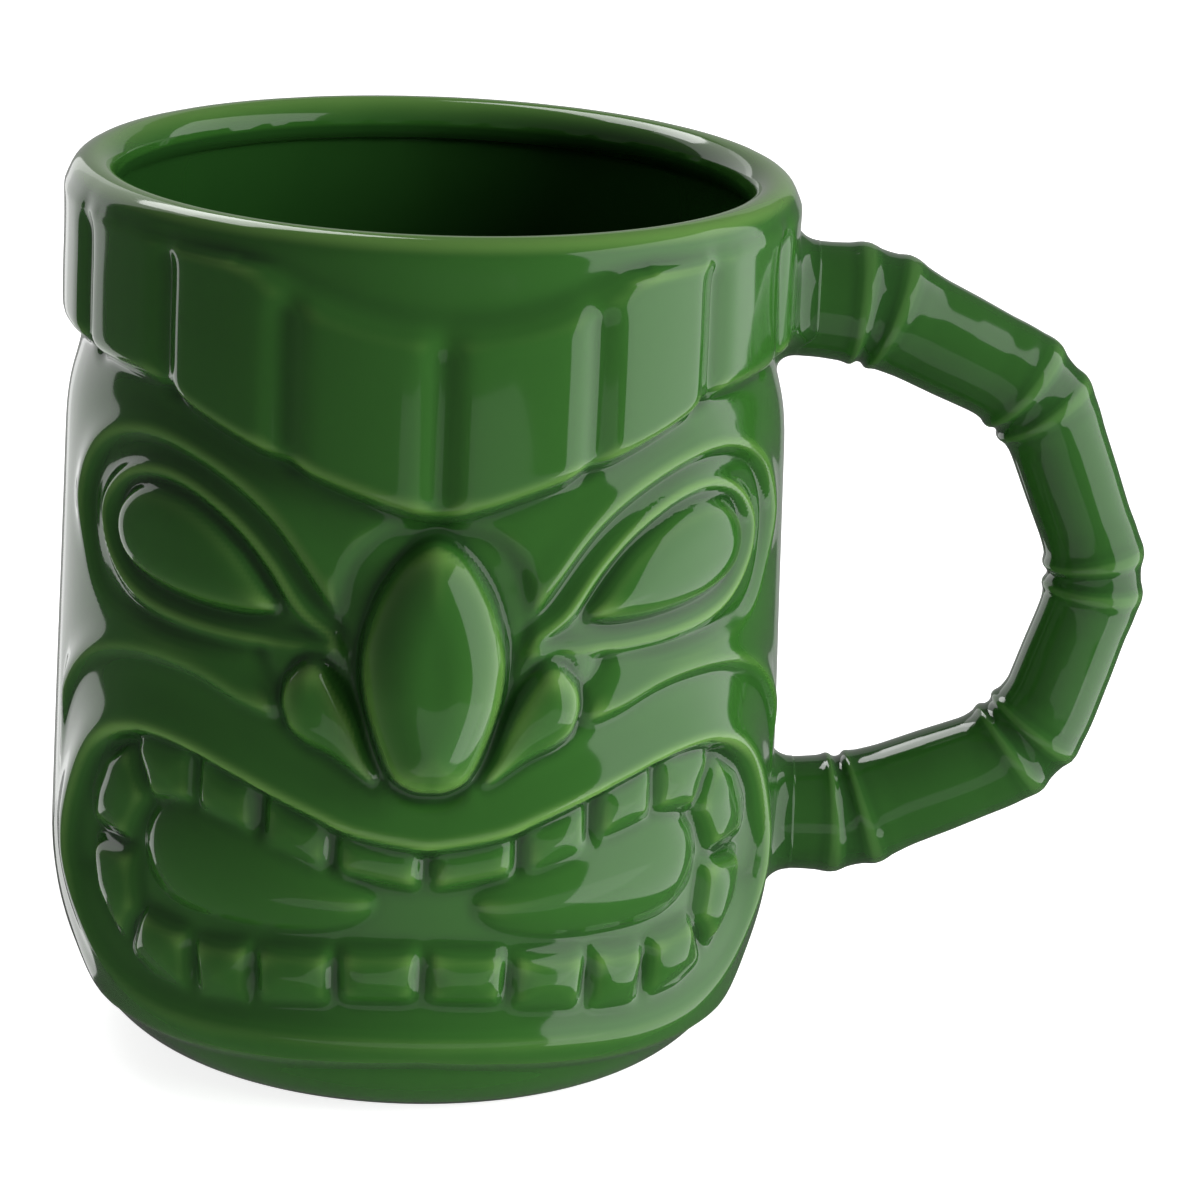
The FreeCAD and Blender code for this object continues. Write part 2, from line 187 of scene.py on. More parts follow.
def addStage(s):
    world = bpy.data.worlds.new("studio")
    scene.world = world
    world.use_nodes = True
    nodes, links = world.node_tree.nodes, world.node_tree.links
    nodes.clear()
    path = nodes.new("ShaderNodeLightPath")
    seen, room = nodes.new("ShaderNodeBackground"), nodes.new("ShaderNodeBackground")
    seen.inputs["Color"].default_value = s["backdrop"] + (1,)
    room.inputs["Strength"].default_value = s["roomLight"]
    mix, out = nodes.new("ShaderNodeMixShader"), nodes.new("ShaderNodeOutputWorld")
    links.new(path.outputs["Is Camera Ray"], mix.inputs["Fac"])
    links.new(room.outputs[0], mix.inputs[1])
    links.new(seen.outputs[0], mix.inputs[2])
    links.new(mix.outputs[0], out.inputs["Surface"])

    paper = bpy.data.materials.new("palePaper")
    paper.use_nodes = True
    shader = paper.node_tree.nodes["Principled BSDF"]
    shader.inputs["Base Color"].default_value = s["floorColour"] + (1,)
    shader.inputs["Roughness"].default_value = 0.9
    # the paper glows a little for the camera alone, so it stays white with only a faint shadow
    paperPath = paper.node_tree.nodes.new("ShaderNodeLightPath")
    glow = paper.node_tree.nodes.new("ShaderNodeMath")
    glow.operation = "MULTIPLY"
    glow.inputs[1].default_value = s["floorGlow"]
    paper.node_tree.links.new(paperPath.outputs["Is Camera Ray"], glow.inputs[0])
    paper.node_tree.links.new(glow.outputs[0], shader.inputs["Emission Strength"])
    shader.inputs["Emission Color"].default_value = (1, 1, 1, 1)
    rim = [(s["floorRadius"] * math.cos(a), s["floorRadius"] * math.sin(a), 0)
           for a in np.linspace(0, 2 * math.pi, s["floorSides"], endpoint=False)]
    floor = makeMesh("floor", rim, [tuple(range(s["floorSides"]))], paper)
    floor.visible_glossy = False


addCamera(viewSettings)
for boxName, box in lightSettings.items():
    addSoftbox(boxName, box)
for cardName, card in cardSettings.items():
    addCard(cardName, card)
addStage(stageSettings)
scene.view_settings.view_transform = "Standard"
print("stage, camera and lights are set")


# ---- glaze and clay ----

glazeSettings = {
    "deep": (0.013, 0.056, 0.010), "full": (0.029, 0.116, 0.017), "edge": (0.12, 0.26, 0.055),
    "edgeStart": 0.05, "edgeEnd": 0.5, "poolStrength": 2.5, "mottleScale": 45, "mottle": 0.12,
    "roughness": 0.07, "roughnessSpread": 0.03, "rippleScale": 110, "pinholeScale": 520, "pinhole": 0.055,
}


def newMaterial(name):
    material = bpy.data.materials.new(name)
    material.use_nodes = True
    return material, material.node_tree, material.node_tree.nodes["Principled BSDF"]


def addNode(tree, kind, inputs=None, **settings):
    node = tree.nodes.new(kind)
    for key, value in settings.items():
        setattr(node, key, value)
    for key, value in (inputs or {}).items():
        if isinstance(value, bpy.types.NodeSocket):
            tree.links.new(value, node.inputs[key])
        else:
            node.inputs[key].default_value = value
    return node


def calculate(tree, operation, a, b=0.0, clamp=False):
    return addNode(tree, "ShaderNodeMath", {0: a, 1: b}, operation=operation, use_clamp=clamp).outputs[0]


# colour, roughness and height of a coloured glaze that breaks light on edges and pools dark in hollows
def buildGlazeGroup():
    tree = bpy.data.node_groups.new("breakingGlaze", "ShaderNodeTree")
    for name, kind in (("Position", "NodeSocketVector"), ("Thickness", "NodeSocketFloat"),
                       ("Deep", "NodeSocketColor"), ("Full", "NodeSocketColor"), ("Edge", "NodeSocketColor"),
                       ("Edge Start", "NodeSocketFloat"), ("Edge End", "NodeSocketFloat"),
                       ("Pool Strength", "NodeSocketFloat"), ("Mottle Scale", "NodeSocketFloat"),
                       ("Mottle", "NodeSocketFloat"), ("Roughness", "NodeSocketFloat"),
                       ("Roughness Spread", "NodeSocketFloat"), ("Ripple Scale", "NodeSocketFloat"),
                       ("Pinhole Scale", "NodeSocketFloat"), ("Pinhole Size", "NodeSocketFloat")):
        tree.interface.new_socket(name=name, in_out="INPUT", socket_type=kind)
    for name, kind in (("Color", "NodeSocketColor"), ("Roughness", "NodeSocketFloat"), ("Height", "NodeSocketFloat")):
        tree.interface.new_socket(name=name, in_out="OUTPUT", socket_type=kind)
    given = tree.nodes.new("NodeGroupInput").outputs
    result = tree.nodes.new("NodeGroupOutput")

    mottle = addNode(tree, "ShaderNodeTexNoise", {"Vector": given["Position"], "Scale": given["Mottle Scale"],
                                                  "Detail": 3.0}).outputs[0]
    drift = calculate(tree, "MULTIPLY", calculate(tree, "SUBTRACT", mottle, 0.5), given["Mottle"])
    coat = calculate(tree, "ADD", given["Thickness"], drift)
    # positive values are thin glaze on an edge, negative ones are pooled glaze
    thin = addNode(tree, "ShaderNodeMapRange", {"Value": coat, "From Min": given["Edge Start"],
                                                "From Max": given["Edge End"]},
                   interpolation_type="SMOOTHSTEP").outputs[0]
    depth = calculate(tree, "MULTIPLY", coat, -1.0)
    pooled = calculate(tree, "MULTIPLY", depth, given["Pool Strength"], clamp=True)
    body = addNode(tree, "ShaderNodeMix", {0: pooled, 6: given["Full"], 7: given["Deep"]},
                   data_type="RGBA").outputs[2]
    colour = addNode(tree, "ShaderNodeMix", {0: thin, 6: body, 7: given["Edge"]}, data_type="RGBA").outputs[2]
    tree.links.new(colour, result.inputs["Color"])

    spread = addNode(tree, "ShaderNodeMath", {0: mottle, 1: given["Roughness Spread"], 2: given["Roughness"]},
                     operation="MULTIPLY_ADD").outputs[0]
    tree.links.new(spread, result.inputs["Roughness"])

    ripple = addNode(tree, "ShaderNodeTexNoise", {"Vector": given["Position"], "Scale": given["Ripple Scale"],
                                                  "Detail": 1.0}).outputs[0]
    cells = addNode(tree, "ShaderNodeTexVoronoi", {"Vector": given["Position"], "Scale": given["Pinhole Scale"]})
    pit = addNode(tree, "ShaderNodeMapRange", {"Value": cells.outputs["Distance"], "From Min": 0.0,
                                               "From Max": given["Pinhole Size"], "To Min": -0.6, "To Max": 0.0},
                  interpolation_type="SMOOTHSTEP").outputs[0]
    luck = addNode(tree, "ShaderNodeSeparateColor", {0: cells.outputs["Color"]}).outputs[0]
    # only a few of the cells hold a pinhole
    rare = calculate(tree, "GREATER_THAN", luck, 0.985)
    height = calculate(tree, "ADD", ripple, calculate(tree, "MULTIPLY", pit, rare))
    tree.links.new(height, result.inputs["Height"])
    return tree


glazeGroup = buildGlazeGroup()


def makeGlaze(name, changes, bumpStrength=0.10):
    g = {**glazeSettings, **changes}
    material, tree, shader = newMaterial(name)
    position = addNode(tree, "ShaderNodeTexCoord").outputs["Object"]
    thickness = addNode(tree, "ShaderNodeAttribute", attribute_name="glazeThin").outputs["Fac"]
    glaze = addNode(tree, "ShaderNodeGroup", node_tree=glazeGroup)
    tree.links.new(position, glaze.inputs["Position"])
    tree.links.new(thickness, glaze.inputs["Thickness"])
    for socket, key in (("Deep", "deep"), ("Full", "full"), ("Edge", "edge")):
        glaze.inputs[socket].default_value = g[key] + (1,)
    for socket, key in (("Edge Start", "edgeStart"), ("Edge End", "edgeEnd"), ("Pool Strength", "poolStrength"),
                        ("Mottle Scale", "mottleScale"), ("Mottle", "mottle"), ("Roughness", "roughness"),
                        ("Roughness Spread", "roughnessSpread"), ("Ripple Scale", "rippleScale"),
                        ("Pinhole Scale", "pinholeScale"), ("Pinhole Size", "pinhole")):
        glaze.inputs[socket].default_value = g[key]
    relief = addNode(tree, "ShaderNodeBump", {"Height": glaze.outputs["Height"], "Strength": bumpStrength,
                                              "Distance": 0.0004})
    tree.links.new(glaze.outputs["Color"], shader.inputs["Base Color"])
    tree.links.new(glaze.outputs["Roughness"], shader.inputs["Roughness"])
    tree.links.new(relief.outputs["Normal"], shader.inputs["Normal"])
    shader.inputs["IOR"].default_value = 1.52
    shader.inputs["Coat Weight"].default_value = 0.35
    shader.inputs["Coat Roughness"].default_value = 0.03
    return material


claySettings = {"pale": (0.62, 0.52, 0.40), "dark": (0.42, 0.33, 0.24), "grainScale": 900, "roughness": 0.85}


# the unglazed foot ring
def makeBareClay(c):
    material, tree, shader = newMaterial("bareClay")
    position = addNode(tree, "ShaderNodeTexCoord").outputs["Object"]
    grain = addNode(tree, "ShaderNodeTexNoise", {"Vector": position, "Scale": c["grainScale"], "Detail": 4.0})
    colour = addNode(tree, "ShaderNodeMix", {0: grain.outputs[0], 6: c["dark"] + (1,), 7: c["pale"] + (1,)},
                     data_type="RGBA")
    relief = addNode(tree, "ShaderNodeBump", {"Height": grain.outputs[0], "Strength": 0.4, "Distance": 0.0002})
    tree.links.new(colour.outputs[2], shader.inputs["Base Color"])
    tree.links.new(relief.outputs["Normal"], shader.inputs["Normal"])
    shader.inputs["Roughness"].default_value = c["roughness"]
    return material


bodyGlaze = makeGlaze("bodyGlaze", {})
handleGlaze = makeGlaze("handleGlaze", {"mottleScale": 60, "full": (0.024, 0.095, 0.015),
                                        "edge": (0.07, 0.18, 0.04)})
jointGlaze = makeGlaze("jointGlaze", {"mottleScale": 90, "mottle": 0.35})
bareClay = makeBareClay(claySettings)
print("glazes and clay are mixed")


# ---- the cup: wall, headband and carved face ----

# Everything carved is drawn on the unrolled wall as (degrees round from the middle of the face, height in mm).
# One side is drawn, and the other mirrors it.
wallRadius = 50.0
degree = math.radians(1) * wallRadius

cupShape = {
    "footRadius": 34.0, "footRing": 5.0, "footRecess": 1.5, "bellyRadius": 50.4, "bellyHeight": 28.5,
    "wallLine": [(28.5, 50.4), (48, 50.0), (68, 49.5), (88, 49.1), (104, 49.2), (113, 49.1), (118.6, 49.2)],
    "lipMiddle": 46.0, "lipRoll": 3.2, "height": 122.0, "wall": 4.8, "floorHeight": 7.0, "floorCorner": 14.0,
    "lipUnderside": 14.0, "insideTaper": 0.9, "lipThin": 0.42, "insideThin": -0.35,
}

bandShape = {
    "edge": [(0, 85.3), (8, 87.1), (24, 91.6), (26.5, 92.4), (47, 97.9), (52, 98.6), (75, 98.6), (180, 98.6)],
    "edgeSoft": 2.5, "edgeSlope": ((47, 60), (0.95, 1.0)),
    "frontLevel": 2.3, "sideLevel": 0.55, "levelFade": (22, 56), "shoulder": (-0.4, 2.6),
    "notchDepth": 2.1, "notchFront": 1.1, "notchBelow": (3.6, 6.5), "notchAbove": 1.5,
    "creaseMiddle": 111.0, "creaseRise": 0.0078, "creaseSoft": 1.4, "creaseFade": (26, 44), "creaseFall": (3.8, 8.0),
    "panelTop": 119,
    "grooves": [0, 23.8, 47.0, 71, 108, 132, 156, 180], "grooveDepth": 1.3, "grooveWidth": 2.3,
    "grooveLift": 0.5, "grooveEnd": 0.7, "grooveFade": (-1.5, 1.0),
    "grooveTops": [108.6, 112.4, 115.6, 115, 115, 115, 115, 115],
}

eyeShape = {
    "socket": [(14, 69.2), (18.4, 76.6), (26.4, 84.9), (36, 89.6), (48, 91.8), (58, 90.6), (66, 86.2), (70.3, 79.5),
               (68.5, 72.5), (62.5, 67.6), (52, 66.2), (38, 65.8), (24, 66.6)],
    "socketDepth": 1.1, "socketSoft": 1.0,
    "browRise": 0.9, "browOutside": 3.2, "browInside": 0.5, "browFade": (70, 80), "browClear": (0.5, 4),
    "rim": [(15.5, 69.0), (21, 73), (26.8, 79.3), (33.4, 84), (42, 87.1), (50, 87.4), (57.5, 85), (62.6, 80.5),
            (62.3, 76), (58, 72), (51, 69.4), (38, 68.1), (24, 67.9)],
    "rimRise": 1.45, "rimWidth": 1.15,
    "ball": [(24.5, 72.6), (28, 77), (33, 81.3), (40, 84.8), (47, 85.9), (53, 84.9), (57.4, 82.2), (58.9, 79),
             (58, 75.8), (55, 73.4), (49, 71.9), (40, 71), (31, 70.9), (26.5, 71.5)],
    "ballRise": 2.6, "ballReach": 5.5, "ballGap": 0.5, "ballGapWidth": 0.8,
}

noseShape = {
    "hollow": [(0, 85.2), (8, 84.6), (13, 81), (15.3, 75), (14.4, 69), (12.6, 63), (9, 55), (5, 48.5), (0, 47)],
    "hollowDepth": 1.1, "hollowSoft": 1.2,
    "outline": [(0, 83.6), (5, 81.4), (9, 76.0), (11.2, 69), (10.9, 62.5), (8.6, 55.6), (6, 51.0), (2.6, 49.2),
                (0, 49.0)],
    "rise": 9.0, "reach": 9.2, "topRise": 0.62, "topFade": (84, 62),
    "wing": [(15.2, 64.9), (17.4, 66.7), (20, 66.4), (22.6, 64), (23.7, 60.8), (22.6, 57.2), (19.6, 55), (15.2, 53.4),
             (8.2, 49.8), (9.6, 54.4), (11.6, 59.4)],
    "wingRise": 3.3, "wingReach": 4.4, "wingTail": 0.5, "wingTailFade": (51, 61), "wingGap": 0.5, "wingGapWidth": 0.7,
    "wingGapShift": 0.3,
}

cheekShape = {
    "line": [(23.5, 58.4), (30, 59.8), (37, 61.9), (44, 62.7), (52, 62.3), (60, 60.4), (67, 57), (72.5, 52.5),
             (76.5, 47), (79, 40)],
    "rise": 1.25, "above": 3.2, "below": 0.75, "start": (22, 25), "fade": (74, 80),
    "corner": [(23.8, 58.6), (24.6, 62), (27.5, 65.6)], "cornerDepth": 0.9, "cornerWidth": 1.6,
    "cornerMiddle": 62, "cornerReach": 8,
}

mouthShape = {
    "outline": [(0, 41.4), (10, 42.6), (20, 45.8), (30, 48.9), (40, 51.2), (48, 51.6), (56, 49.8), (62.5, 46),
                (67.5, 40), (71, 33), (71.5, 27), (68.5, 20.8), (62, 15.6), (52, 12.6), (40, 11.8), (24, 12.6),
                (0, 13.4)],
    "depth": 2.6, "wallSide": (1.1, 4.6), "lowerHalf": (18, 34), "cornerFade": (55, 66), "cornerSoft": 0.75,
    "lipRise": 1.5, "lipAbove": (4.6, 2.6), "lipInside": 0.9, "lowerLip": 0.4,
    "swelling": [(8, 33.5), (18, 38.6), (30, 41.8), (42, 42.6), (49.4, 39.6), (51.4, 34.5), (49, 30), (43, 27.4),
                 (33, 26.9), (20, 27.4), (10.5, 29.4)],
    "swellingRise": 2.4, "swellingReach": 7.5,
}

teethShape = {
    "corners": [
        [(1.0, 40.6), (1.4, 35.2), (13.6, 36.8), (13.8, 42.4)],
        [(15.4, 43.4), (16.2, 37.2), (26.0, 39.5), (25.8, 46.4)],
        [(28.4, 47.4), (28.4, 40.8), (38.6, 42.6), (38.4, 50.2)],
        [(40.2, 50.4), (40.0, 43.0), (48.8, 41.8), (53.0, 48.4), (50.2, 50.6)],
        [(55.0, 47.6), (50.4, 41.4), (55.2, 34.6), (65.2, 34.6), (64.4, 40.0), (60.8, 44.8)],
        [(53.8, 32.6), (65.0, 31.6), (63.4, 24.8), (56.8, 19.6), (52.2, 24.8)],
        [(1.0, 25.8), (1.0, 18.6), (12.9, 18.1), (13.0, 25.2)],
        [(14.8, 24.8), (14.8, 17.4), (26.8, 16.2), (26.8, 24.0)],
        [(28.6, 24.0), (28.8, 15.6), (38.4, 14.9), (38.6, 23.0)],
        [(40.5, 23.6), (41.0, 15.2), (48.0, 15.8), (54.0, 18.0), (50.0, 24.8)],
    ],
    "level": -0.75, "outside": 1.3, "inside": 1.0, "crown": 0.75, "crownReach": 4, "soften": 2.4,
}

jawShape = {"line": [(0, 10.4), (14, 9.6), (28, 8.6), (45, 7.8), (60, 8.2), (80, 10)], "rise": 1.3, "above": 5.0,
            "below": 1.2, "fade": (62, 82)}

reliefGrid = {"degreeStep": 0.25, "heightStep": 0.25, "low": -2.0, "high": 124.0, "acrossFit": 0.971,
              "middleFit": (1.75, 0.97), "sideFit": (0.8, 0.993), "soften": 0.48, "thinReach": 1.0,
              "thinGain": 1.0}


def mirrorLoop(points):
    mirrored = [(-a, z) for a, z in reversed(points) if a > 0]
    return points + mirrored


class WallMap:
    # the unrolled half wall: x is the distance round from the middle of the face, z the height as drawn
    def __init__(self, g):
        self.angles = np.arange(0, 180.001, g["degreeStep"])
        self.heights = np.arange(g["low"], g["high"] + 0.001, g["heightStep"])
        angle, height = np.meshgrid(self.angles, self.heights, indexing="ij")
        # the drawing is pressed on a little smaller than it was drawn, more so in the middle of the face
        side = np.clip(angle / 75, 0, 1) ** 2
        lift, shrink = (a + (b - a) * side for a, b in zip(g["middleFit"], g["sideFit"]))
        self.angle = np.where(angle < 80, angle / g["acrossFit"], angle + 80 * (1 / g["acrossFit"] - 1)
                              * np.clip((100 - angle) / 20, 0, 1))
        self.z = (height - lift) / shrink
        self.x = self.angle * degree
        self.relief = np.zeros_like(self.x)

    # distance from a line, counted only within a margin of it: positive inside a loop, or above an open line
    def distance(self, points, closed, margin=12, steps=8):
        line = smoothLine(points, closed, steps) if steps > 1 else np.array(points, dtype=float)
        line = line * (degree, 1)
        low, high = line.min(0) - margin, line.max(0) + margin
        rows = np.where((self.x[:, 0] >= low[0]) & (self.x[:, 0] <= high[0]))[0]
        columns = np.where((self.z.max(axis=0) >= low[1]) & (self.z.min(axis=0) <= high[1]))[0]
        part = np.ix_(rows, columns)
        x, z = self.x[part], self.z[part]
        nearest = np.full(x.shape, 1e9)
        inside = np.zeros(x.shape, dtype=bool)
        ends = np.roll(line, -1, axis=0) if closed else line[1:]
        for (ax, az), (bx, bz) in zip(line, ends):
            dx, dz = bx - ax, bz - az
            t = np.clip(((x - ax) * dx + (z - az) * dz) / (dx * dx + dz * dz + 1e-12), 0, 1)
            nearest = np.minimum(nearest, (x - ax - t * dx) ** 2 + (z - az - t * dz) ** 2)
            if closed:
                crosses = ((az > z) != (bz > z)) & (x < (bx - ax) * (z - az) / (bz - az + 1e-12) + ax)
                inside ^= crosses
        far = np.sqrt(nearest)
        if not closed:
            order = np.argsort(line[:, 0])
            inside = z > np.interp(x, line[order, 0], line[order, 1])
        full = np.full(self.x.shape, -float(margin) if closed else np.nan)
        full[part] = np.where(inside, far, -far)
        if not closed:
            order = np.argsort(line[:, 0])
            above = self.z - np.interp(self.x, line[order, 0], line[order, 1])
            full = np.where(np.isnan(full), np.sign(above) * margin, full)
        return full


def carveBand(wall, b):
    edgeAngles, edgeHeights = zip(*b["edge"])
    under = wall.z - np.interp(wall.angle, edgeAngles, edgeHeights)
    under = blur(under, b["edgeSoft"]) * np.interp(wall.angle, *b["edgeSlope"])
    front = 1 - smoothStep(*b["levelFade"], wall.angle)
    level = b["sideLevel"] + (b["frontLevel"] - b["sideLevel"]) * front
    crease = b["creaseMiddle"] + b["creaseRise"] * wall.angle ** 2
    # the fall above the crease is short at the front and long at the sides
    fold = 1 - smoothStep(*b["creaseFade"], wall.angle)
    fall = b["creaseFall"][1] + (b["creaseFall"][0] - b["creaseFall"][1]) * fold
    chamfer = 1 - smoothStep(-b["creaseSoft"] / fall, 1, (wall.z - crease) / fall)
    chamfer = np.where(wall.z > b["panelTop"], 0, chamfer)
    rise = smoothStep(*b["shoulder"], under) * level * chamfer
    depth = b["notchDepth"] + (b["notchFront"] - b["notchDepth"]) * front
    below = b["notchBelow"][1] + (b["notchBelow"][0] - b["notchBelow"][1]) * front
    notch = depth * np.where(under > 0, bump(under, b["notchAbove"]), bump(under / below, 1))
    wall.relief += rise - notch
    for angle, top in zip(b["grooves"], b["grooveTops"]):
        bottom = np.interp(angle, edgeAngles, edgeHeights) + b["grooveLift"]
        dx = (wall.angle - angle) * degree
        dz = np.maximum(bottom - wall.z, 0) + np.maximum(wall.z - top, 0)
        away = np.sqrt(dx ** 2 + (dz * b["grooveEnd"]) ** 2)
        wall.relief -= b["grooveDepth"] * bump(away, b["grooveWidth"]) * smoothStep(*b["grooveFade"], under)
    return under


def carveEye(wall, e, bandDistance):
    socket = wall.distance(e["socket"], True)
    wall.relief -= e["socketDepth"] * smoothStep(-e["socketSoft"], e["socketSoft"], socket)
    # the brow stands up just outside the socket, more above than below
    brow = np.where(socket < 0, bump(socket, e["browOutside"]), bump(socket, e["browInside"]))
    brow = brow * smoothStep(*e["browFade"], wall.z) * smoothStep(*e["browClear"], -bandDistance)
    wall.relief += e["browRise"] * brow
    rim = wall.distance(e["rim"], True)
    wall.relief += e["rimRise"] * bump(rim, e["rimWidth"])
    ball = wall.distance(e["ball"], True)
    wall.relief -= e["ballGap"] * bump(ball, e["ballGapWidth"])
    t = np.clip(ball / e["ballReach"], 0, 1)
    wall.relief += e["ballRise"] * np.sqrt(1 - (1 - t) ** 2)


def carveNose(wall, n):
    hollow = wall.distance(mirrorLoop(n["hollow"]), True)
    wall.relief -= n["hollowDepth"] * smoothStep(-n["hollowSoft"], n["hollowSoft"], hollow)
    wing = wall.distance(n["wing"], True)
    t = np.clip(wing / n["wingReach"], 0, 1)
    lobe = n["wingTail"] + (1 - n["wingTail"]) * smoothStep(*n["wingTailFade"], wall.z)
    wall.relief += n["wingRise"] * lobe * np.sqrt(1 - (1 - t) ** 2)
    wall.relief -= n["wingGap"] * bump(wing + n["wingGapShift"], n["wingGapWidth"])
    nose = wall.distance(mirrorLoop(n["outline"]), True)
    t = np.clip(nose / n["reach"], 0, 1)
    ridge = n["topRise"] + (1 - n["topRise"]) * smoothStep(*n["topFade"], wall.z)
    dome = n["rise"] * ridge * (1 - (1 - t) ** 2.2) ** 0.55
    wall.relief = np.where(nose > 0, np.maximum(wall.relief, -n["hollowDepth"]) * (1 - t) ** 2 + dome
                           - n["hollowDepth"] * t, wall.relief)


def carveCheek(wall, c):
    ridge = wall.distance(c["line"], False)
    fade = 1 - smoothStep(*c["fade"], wall.angle)
    wall.relief += c["rise"] * sidedBump(ridge, c["above"], c["below"]) * fade * smoothStep(*c["start"], wall.angle)
    corner = wall.distance(c["corner"], False, margin=c["cornerReach"])
    near = np.abs(wall.z - c["cornerMiddle"]) < c["cornerReach"]
    wall.relief -= c["cornerDepth"] * bump(corner, c["cornerWidth"]) * near


def carveMouth(wall, m):
    mouth = wall.distance(mirrorLoop(m["outline"]), True)
    lower = 1 - smoothStep(*m["lowerHalf"], wall.z)
    corner = smoothStep(*m["cornerFade"], wall.angle) * (1 - lower)
    side = m["wallSide"][0] + (m["wallSide"][1] - m["wallSide"][0]) * np.maximum(lower, m["cornerSoft"] * corner)
    wall.relief -= m["depth"] * smoothStep(0, 1, mouth / side * 0.5 + 0.15)
    outside = m["lipAbove"][0] + (m["lipAbove"][1] - m["lipAbove"][0]) * lower
    lip = np.where(mouth < 0, bump(mouth / outside, 1), bump(mouth, m["lipInside"]))
    wall.relief += m["lipRise"] * (1 - (1 - m["lowerLip"]) * lower) * lip
    swelling = wall.distance(m["swelling"], True)
    t = np.clip(swelling / m["swellingReach"], 0, 1)
    wall.relief += m["swellingRise"] * (1 - (1 - t) ** 2) ** 0.8


def carveTeeth(wall, t):
    for corners in t["corners"]:
        inside = blur(wall.distance(corners, True, margin=t["crownReach"], steps=1), t["soften"])
        tooth = smoothStep(-t["outside"], t["inside"], inside)
        top = t["level"] + t["crown"] * smoothStep(0, t["crownReach"], inside)
        wall.relief += (top - wall.relief) * tooth


def carveJaw(wall, j):
    ridge = wall.distance(j["line"], False, margin=20)
    fade = 1 - smoothStep(*j["fade"], wall.angle)
    wall.relief += j["rise"] * sidedBump(ridge, j["above"], j["below"]) * fade


def carveWall(g):
    wall = WallMap(g)
    bandDistance = carveBand(wall, bandShape)
    carveEye(wall, eyeShape, bandDistance)
    carveCheek(wall, cheekShape)
    carveMouth(wall, mouthShape)
    carveTeeth(wall, teethShape)
    carveJaw(wall, jawShape)
    carveNose(wall, noseShape)
    # the glaze rounds every edge a little, and is thin where the surface bulges
    wall.relief = blur(wall.relief, g["soften"] / g["heightStep"])
    wall.relief *= smoothStep(0.5, 5, wall.z)
    wall.thin = np.clip((wall.relief - blur(wall.relief, g["thinReach"] / g["heightStep"])) * g["thinGain"], -1, 1)
    return wall


def sampleWall(wall, values, angles, heights):
    a = np.abs((angles + 180) % 360 - 180)
    i = np.clip(a / (wall.angles[1] - wall.angles[0]), 0, len(wall.angles) - 1.001)
    j = np.clip((heights - wall.heights[0]) / (wall.heights[1] - wall.heights[0]), 0, len(wall.heights) - 1.001)
    i0, j0 = i.astype(int), j.astype(int)
    u, v = i - i0, j - j0
    return (values[i0, j0] * (1 - u) * (1 - v) + values[i0 + 1, j0] * u * (1 - v)
            + values[i0, j0 + 1] * (1 - u) * v + values[i0 + 1, j0 + 1] * u * v)


cupMesh = {"columns": 400, "rows": 216, "innerMerge": 4, "innerRows": 26, "backDensity": 0.24, "faceReach": 80}


# columns stand closer together on the face and at the grooves of the headband
def columnAngles(m):
    fine = np.linspace(-180, 180, 14401)
    offFace = np.abs(fine)
    density = np.where(offFace < m["faceReach"], 1.0, m["backDensity"])
    for groove in bandShape["grooves"]:
        density = np.maximum(density, 0.9 * (np.abs(offFace - groove) < 3.2))
    density = np.convolve(np.pad(density, 60, mode="wrap"), np.ones(121) / 121, mode="valid")
    total = np.concatenate([[0], np.cumsum((density[1:] + density[:-1]) / 2)])
    return np.interp(np.arange(m["columns"]) / m["columns"] * total[-1], total, fine)


# the outer half section, as radius and height, evenly spaced from the foot ring to the top of the lip
def outerSection(c, rows):
    turn = np.linspace(0, math.pi / 2, 60)
    section = [(c["footRadius"] + (c["bellyRadius"] - c["footRadius"]) * math.sin(t),
                c["bellyHeight"] * (1 - math.cos(t))) for t in turn[:-1]]
    section += [(r, z) for z, r in smoothLine(c["wallLine"], False, 12)]
    rollHeight = c["height"] - c["lipRoll"]
    section += [(c["lipMiddle"] + c["lipRoll"] * math.cos(t), rollHeight + c["lipRoll"] * math.sin(t))
                for t in np.linspace(0.12, math.pi / 2, 12)]
    section = np.array(section)
    along = np.concatenate([[0], np.cumsum(np.hypot(*np.diff(section, axis=0).T))])
    even = np.linspace(0, along[-1], rows)
    return np.stack([np.interp(even, along, section[:, k]) for k in (0, 1)], axis=1)


# the inside, as the roll of the lip and then its underside, the wall and the floor
def innerSection(c, rows):
    rollHeight = c["height"] - c["lipRoll"]
    roll = [(c["lipMiddle"] + c["lipRoll"] * math.cos(t), rollHeight + c["lipRoll"] * math.sin(t))
            for t in np.linspace(math.pi / 2, math.pi, 9)[1:]]
    wallInside = c["bellyRadius"] - c["wall"]
    lipInside = c["lipMiddle"] - c["lipRoll"]
    drop = rollHeight - c["lipUnderside"]
    under = smoothLine([(lipInside, rollHeight), (lipInside + 0.2, rollHeight - 1.4),
                        (lipInside + 0.9, rollHeight - 2.5), (wallInside - 1.0, rollHeight - 3.6),
                        (wallInside - c["insideTaper"], drop)], False, 4)[1:]
    down = [(wallInside - c["insideTaper"] + c["insideTaper"] * t,
             drop - t * (drop - c["floorHeight"] - c["floorCorner"])) for t in np.linspace(0, 1, rows)[1:]]
    corner = [(wallInside - c["floorCorner"] * (1 - math.cos(t)),
               c["floorHeight"] + c["floorCorner"] * (1 - math.sin(t))) for t in np.linspace(0, math.pi / 2, 14)[1:]]
    flat = [(wallInside - c["floorCorner"]) * t for t in (0.7, 0.4, 0.15)]
    return roll, [tuple(p) for p in under] + down + corner + [(r, c["floorHeight"]) for r in flat]


